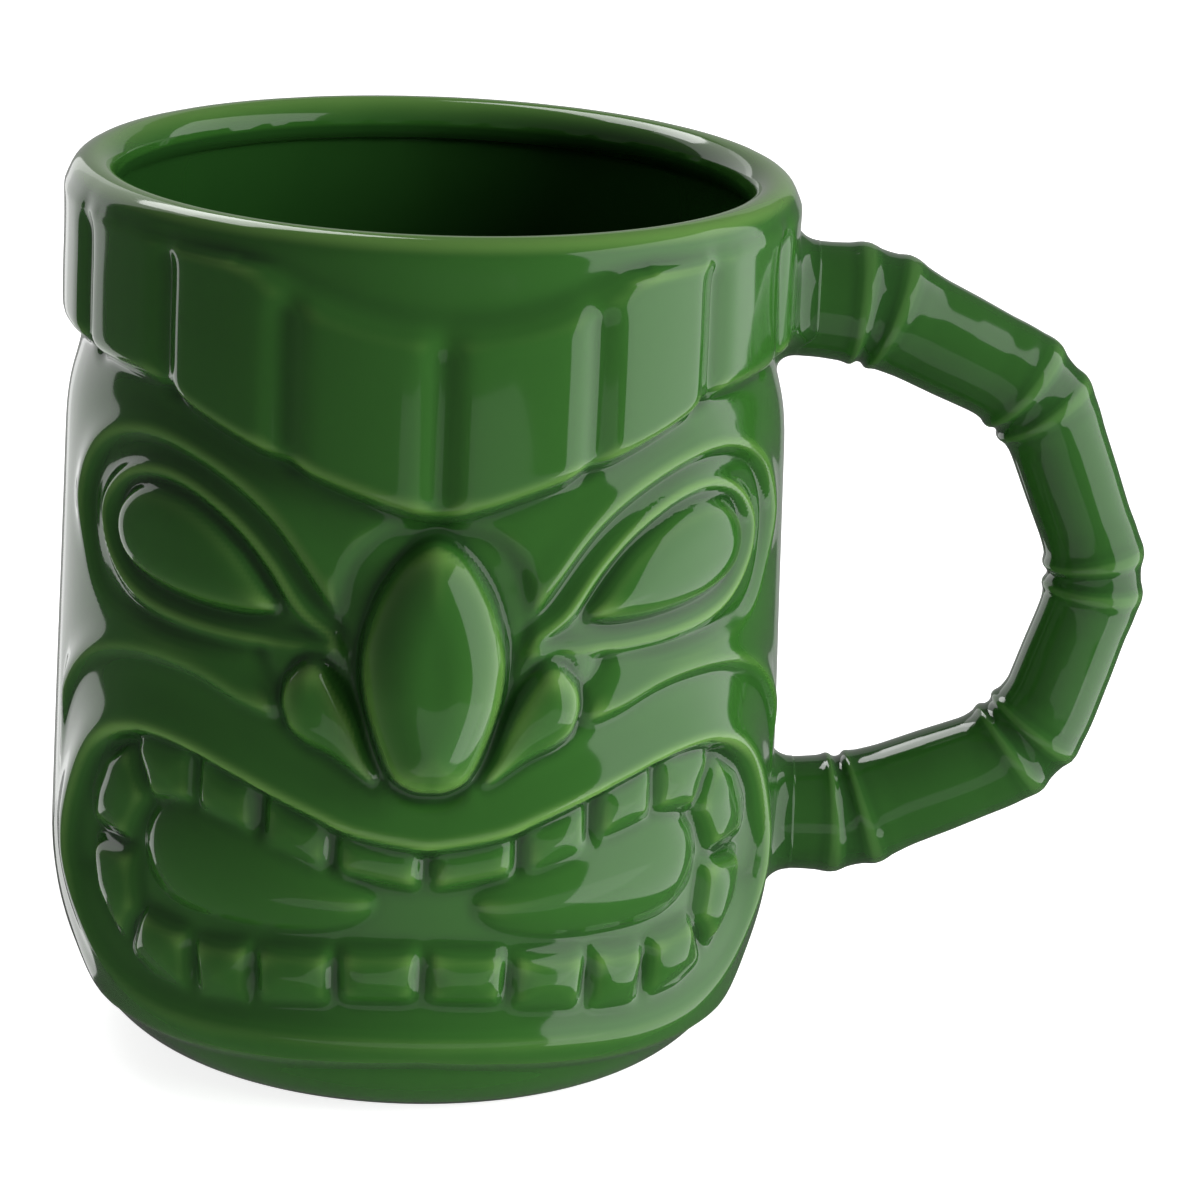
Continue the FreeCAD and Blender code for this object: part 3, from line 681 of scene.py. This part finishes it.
def makeCup(c, m, wall):
    angles = columnAngles(m)
    section = outerSection(c, m["rows"])
    tangent = np.gradient(section, axis=0)
    length = np.hypot(tangent[:, 0], tangent[:, 1])
    outward = np.stack([tangent[:, 1], -tangent[:, 0]], axis=1) / length[:, None]
    turn = np.radians(angles)
    points, thin, faces = [], [], []

    def addRing(radius, height, ringTurn, value=0.0):
        first = len(points)
        radius = np.broadcast_to(radius, ringTurn.shape)
        height = np.broadcast_to(height, ringTurn.shape)
        points.extend(np.stack([radius * np.sin(ringTurn), -radius * np.cos(ringTurn), height], axis=1) * mm)
        thin.extend(np.broadcast_to(value, ringTurn.shape))
        return first

    def joinRings(lower, upper, count):
        for i in range(count):
            k = (i + 1) % count
            faces.append((lower + i, lower + k, upper + k, upper + i))

    def climb(ring, outline, ringTurn, value=0.0):
        for radius, height in outline:
            following = addRing(radius, height, ringTurn, value)
            joinRings(ring, following, len(ringTurn))
            ring = following
        return ring

    # underside: the middle of the recess, then out to the bare foot ring and up the wall
    middle = len(points)
    points.append(np.array([0, 0, c["footRecess"]]) * mm)
    thin.append(-0.2)
    ringInside = c["footRadius"] - c["footRing"]
    recess = [(18, c["footRecess"]), (ringInside - 1.2, c["footRecess"]),
              (ringInside - 0.3, c["footRecess"] - 0.25), (ringInside, c["footRecess"] - 0.8)]
    bareRing = [(ringInside + 0.15, 0.35), (ringInside + 0.6, 0.0), (c["footRadius"] - 0.9, 0.0)]
    ring = addRing(8, c["footRecess"], turn)
    for i in range(len(turn)):
        faces.append((middle, ring + (i + 1) % len(turn), ring + i))
    previous = climb(ring, recess, turn)
    clayStart = len(faces)
    previous = climb(previous, bareRing, turn)
    for row in range(1, len(section)):
        relief = sampleWall(wall, wall.relief, angles, np.full_like(angles, section[row, 1]))
        value = sampleWall(wall, wall.thin, angles, np.full_like(angles, section[row, 1]))
        # the glaze runs thin over the lip
        lip = float(smoothStep(c["height"] - 2.7, c["height"] - 0.4, section[row, 1]))
        ring = addRing(section[row, 0] + relief * outward[row, 0], section[row, 1] + relief * outward[row, 1], turn,
                       value * (1 - lip) + c["lipThin"] * lip)
        joinRings(previous, ring, len(turn))
        if row == 1:
            clayEnd = len(faces)
        previous = ring

    roll, inside = innerSection(c, m["innerRows"])
    for count, (radius, height) in enumerate(roll):
        previous = climb(previous, [(radius, height)], turn, c["lipThin"] * (1 - count / len(roll)))
    # the inside needs fewer columns, so several meet in one below the lip
    merge = m["innerMerge"]
    coarse = turn[::merge]
    ring = addRing(inside[0][0], inside[0][1], coarse, -0.1)
    for i in range(len(coarse)):
        after = ring + (i + 1) % len(coarse)
        fine = [previous + (i * merge + k) % len(turn) for k in range(merge + 1)]
        half = merge // 2
        for k in range(half):
            faces.append((fine[k], fine[k + 1], ring + i))
        faces.append((fine[half], after, ring + i))
        for k in range(half, merge):
            faces.append((fine[k], fine[k + 1], after))
    previous = climb(ring, inside[1:], coarse, c["insideThin"])
    bottom = len(points)
    points.append(np.array([0, 0, c["floorHeight"]]) * mm)
    thin.append(-0.4)
    for i in range(len(coarse)):
        faces.append((previous + i, previous + (i + 1) % len(coarse), bottom))

    cup = makeMesh("mugBody", points, faces, bodyGlaze)
    cup.data.materials.append(bareClay)
    for face in cup.data.polygons[clayStart:clayEnd]:
        face.material_index = 1
    setPointValue(cup, "glazeThin", thin)
    return cup


carvedWall = carveWall(reliefGrid)
cup = makeCup(cupShape, cupMesh, carvedWall)
print("cup:", len(cup.data.polygons), "faces")


# ---- the handle: a bent bamboo stem with a ringed node at each bend ----

handleShape = {
    "bends": [(47.0, 104.9), (60.8, 103.9), (84.5, 92.7), (95.0, 66.4), (87.0, 40.8), (61.0, 30.2), (47.0, 30.0)],
    "bendRadius": 18.0, "endRadius": 8.0, "middleRadius": 6.5, "ringRise": 0.62, "ringSpacing": 4.2,
    "stepLength": 0.32, "sides": 72,
    # the height of a node's beads against the distance from its bend: two soft beads with a groove between them
    "beads": [(0.0, 0.1), (0.08, 0.2), (0.19, 0.75), (0.28, 1.0), (0.38, 0.8), (0.5, 0.42), (0.66, 0.2), (0.8, 0.06),
              (0.92, 0.0), (1.0, 0.0)],
    "thinReach": 4, "thinGain": 1.6, "thinLimits": (-0.4, 0.3),
}


def buildHandleTree(glaze, beads):
    tree = bpy.data.node_groups.new("bambooStem", "GeometryNodeTree")
    tree.interface.new_socket(name="Bends", in_out="INPUT", socket_type="NodeSocketGeometry")
    for name, value in (("Bend Radius", 0.009), ("End Radius", 0.008), ("Middle Radius", 0.0066),
                        ("Ring Rise", 0.0007), ("Ring Spacing", 0.0033), ("Step Length", 0.0004)):
        tree.interface.new_socket(name=name, in_out="INPUT", socket_type="NodeSocketFloat").default_value = value
    tree.interface.new_socket(name="Sides", in_out="INPUT", socket_type="NodeSocketInt").default_value = 64
    tree.interface.new_socket(name="Stem", in_out="OUTPUT", socket_type="NodeSocketGeometry")
    given = tree.nodes.new("NodeGroupInput").outputs
    result = tree.nodes.new("NodeGroupOutput")

    path = addNode(tree, "GeometryNodeMeshToCurve", {"Mesh": given["Bends"]}).outputs[0]
    rounded = addNode(tree, "GeometryNodeFilletCurve", {"Curve": path, "Radius": given["Bend Radius"],
                                                        "Limit Radius": True, "Count": 24}, mode="POLY").outputs[0]
    even = addNode(tree, "GeometryNodeResampleCurve", {"Curve": rounded, "Length": given["Step Length"]},
                   mode="LENGTH").outputs[0]
    # how far each ring of points is from its nearest bend: the two ends of the stem aren't nodes
    index = addNode(tree, "GeometryNodeInputIndex").outputs[0]
    count = addNode(tree, "GeometryNodeAttributeDomainSize", {"Geometry": given["Bends"]}).outputs["Point Count"]
    last = calculate(tree, "SUBTRACT", count, 1.0)
    isFirst = calculate(tree, "LESS_THAN", index, 0.5)
    isLast = calculate(tree, "GREATER_THAN", index, calculate(tree, "SUBTRACT", last, 0.5))
    isEnd = calculate(tree, "MAXIMUM", isFirst, isLast)
    inner = addNode(tree, "GeometryNodeDeleteGeometry", {"Geometry": given["Bends"], "Selection": isEnd},
                    domain="POINT").outputs[0]
    # the rounded path passes inside its bends, so distance is taken from the path point nearest to each bend
    dots = addNode(tree, "GeometryNodeCurveToPoints", {"Curve": even}, mode="EVALUATED").outputs["Points"]
    near = addNode(tree, "GeometryNodeProximity", {0: dots}, target_element="POINTS").outputs["Position"]
    centres = addNode(tree, "GeometryNodeSetPosition", {"Geometry": inner, "Position": near}).outputs[0]
    distance = addNode(tree, "GeometryNodeProximity", {0: centres}, target_element="POINTS").outputs["Distance"]
    steps = calculate(tree, "DIVIDE", distance, given["Ring Spacing"])
    profile = addNode(tree, "ShaderNodeFloatCurve", {"Value": calculate(tree, "DIVIDE", steps, 2.0)})
    curve = profile.mapping.curves[0]
    curve.points[0].location, curve.points[1].location = beads[0], beads[-1]
    for bead in beads[1:-1]:
        curve.points.new(*bead)
    profile.mapping.update()
    raised = calculate(tree, "MULTIPLY", profile.outputs[0], given["Ring Rise"])

    factor = addNode(tree, "GeometryNodeSplineParameter").outputs["Factor"]
    swing = calculate(tree, "SINE", calculate(tree, "MULTIPLY", factor, math.pi))
    slimmer = calculate(tree, "SUBTRACT", given["Middle Radius"], given["End Radius"])
    taper = calculate(tree, "MULTIPLY", slimmer, calculate(tree, "POWER", swing, 1.6))
    radius = calculate(tree, "ADD", calculate(tree, "ADD", given["End Radius"], taper), raised)
    stored = addNode(tree, "GeometryNodeStoreNamedAttribute",
                     {"Geometry": even, "Name": "ringHeight", "Value": profile.outputs[0]},
                     data_type="FLOAT", domain="POINT").outputs[0]
    circle = addNode(tree, "GeometryNodeCurvePrimitiveCircle", {"Resolution": given["Sides"], "Radius": 1.0}).outputs[0]
    tube = addNode(tree, "GeometryNodeCurveToMesh", {"Curve": stored, "Profile Curve": circle, "Scale": radius,
                                                     "Fill Caps": True})
    smooth = addNode(tree, "GeometryNodeSetShadeSmooth", {"Geometry": tube.outputs[0], "Shade Smooth": True}).outputs[0]
    real = addNode(tree, "GeometryNodeRealizeInstances", {"Geometry": smooth}).outputs[0]
    coated = addNode(tree, "GeometryNodeSetMaterial", {"Geometry": real, "Material": glaze}).outputs[0]
    tree.links.new(coated, result.inputs["Stem"])
    return tree


def runTree(name, path, tree, values):
    mesh = bpy.data.meshes.new(name + "Path")
    mesh.from_pydata(path, [(i, i + 1) for i in range(len(path) - 1)], [])
    carrier = bpy.data.objects.new(name + "Path", mesh)
    scene.collection.objects.link(carrier)
    modifier = carrier.modifiers.new("nodes", "NODES")
    modifier.node_group = tree
    identifiers = {item.name: item.identifier for item in tree.interface.items_tree if item.in_out == "INPUT"}
    for socket, value in values.items():
        modifier[identifiers[socket]] = value
    bpy.context.view_layer.update()
    evaluated = carrier.evaluated_get(bpy.context.evaluated_depsgraph_get())
    made = bpy.data.meshes.new_from_object(evaluated)
    carrier.modifiers.remove(modifier)
    bpy.data.objects.remove(carrier)
    piece = bpy.data.objects.new(name, made)
    scene.collection.objects.link(piece)
    return piece


def makeHandle(h):
    path = [(x * mm, 0, z * mm) for x, z in h["bends"]]
    handle = runTree("bambooHandle", path, buildHandleTree(handleGlaze, h["beads"]), {
        "Bend Radius": h["bendRadius"] * mm, "End Radius": h["endRadius"] * mm, "Middle Radius": h["middleRadius"] * mm,
        "Ring Rise": h["ringRise"] * mm, "Ring Spacing": h["ringSpacing"] * mm, "Step Length": h["stepLength"] * mm,
        "Sides": h["sides"]})
    count = len(handle.data.vertices)
    height = np.zeros(count, dtype=np.float32)
    handle.data.attributes["ringHeight"].data.foreach_get("value", height)
    handle.data.attributes.remove(handle.data.attributes["ringHeight"])
    rings = height[: count // h["sides"] * h["sides"]].reshape(-1, h["sides"])
    profile = rings.mean(axis=1)
    reach = h["thinReach"]
    kernel = np.ones(2 * reach + 1) / (2 * reach + 1)
    local = profile - np.convolve(np.pad(profile, reach, mode="edge"), kernel, mode="valid")
    thin = np.repeat(np.clip(local * h["thinGain"], *h["thinLimits"]), h["sides"])
    setPointValue(handle, "glazeThin", np.concatenate([thin, np.zeros(count - len(thin))]))
    return handle


handle = makeHandle(handleShape)
print("handle:", len(handle.data.polygons), "faces")


# ---- the slip fillets that join the handle to the cup ----

jointShape = {"reach": 3.2, "climb": 2.6, "buried": 0.8, "sides": 72, "steps": 12, "sunk": 0.05, "thin": -0.25}


# a collar with a hollow curve from the stem to the wall: the stem runs from its end to the following bend
def makeJoint(name, end, following, stemRadius, wallAt, j):
    start = Vector((end[0], 0, end[1]))
    along = (Vector((following[0], 0, following[1])) - start).normalized()
    upAcross = Vector((-along.z, 0, along.x))
    points, thin = [], []
    for i in range(j["sides"]):
        turn = 2 * math.pi * i / j["sides"]
        across = Vector((0, 1, 0)) * math.cos(turn) + upAcross * math.sin(turn)

        def onWall(radius):
            # walk along the stem from inside the cup until the wall's radius is reached
            t = 0.0
            for _ in range(40):
                p = start + across * radius + along * t
                t += wallAt(p.z) - math.hypot(p.x, p.y)
            return t
        for k in range(j["steps"] + 1):
            s = k / j["steps"] * math.pi / 2
            radius = stemRadius + j["climb"] * (1 - math.sin(s))
            lift = j["reach"] * (1 - math.cos(s))
            point = start + across * radius + along * (onWall(radius) + lift - j["sunk"])
            points.append(point * mm)
            thin.append(j["thin"])
        for radius, lift in ((stemRadius - j["buried"], j["reach"]), (stemRadius - j["buried"], -j["buried"]),
                             (stemRadius + j["climb"], -j["buried"])):
            points.append((start + across * radius + along * (onWall(radius) + lift)) * mm)
            thin.append(0.0)
    ring = j["steps"] + 4
    faces = []
    for i in range(j["sides"]):
        k = (i + 1) % j["sides"]
        for s in range(ring):
            n = (s + 1) % ring
            faces.append((i * ring + s, i * ring + n, k * ring + n, k * ring + s))
    joint = makeMesh(name, points, faces, jointGlaze)
    setPointValue(joint, "glazeThin", thin)
    return joint


wallProfile = outerSection(cupShape, 400)


def sideRadius(z):
    relief = sampleWall(carvedWall, carvedWall.relief, np.array([90.0]), np.array([z]))[0]
    return float(np.interp(z, wallProfile[:, 1], wallProfile[:, 0]) + relief)


bends = handleShape["bends"]
upperJoint = makeJoint("upperSlipJoint", bends[0], bends[1], handleShape["endRadius"], sideRadius, jointShape)
lowerJoint = makeJoint("lowerSlipJoint", bends[-1], bends[-2], handleShape["endRadius"], sideRadius, jointShape)
print("slip joints are on")


# ---- attach each piece to the root body and hide the imported part of the same name ----

for piece, node in ((cup, "mug_body"), (handle, "handle"), (upperJoint, "upper_luting_joint"),
                    (lowerJoint, "lower_luting_joint")):
    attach(piece, "root")
    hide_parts(node)
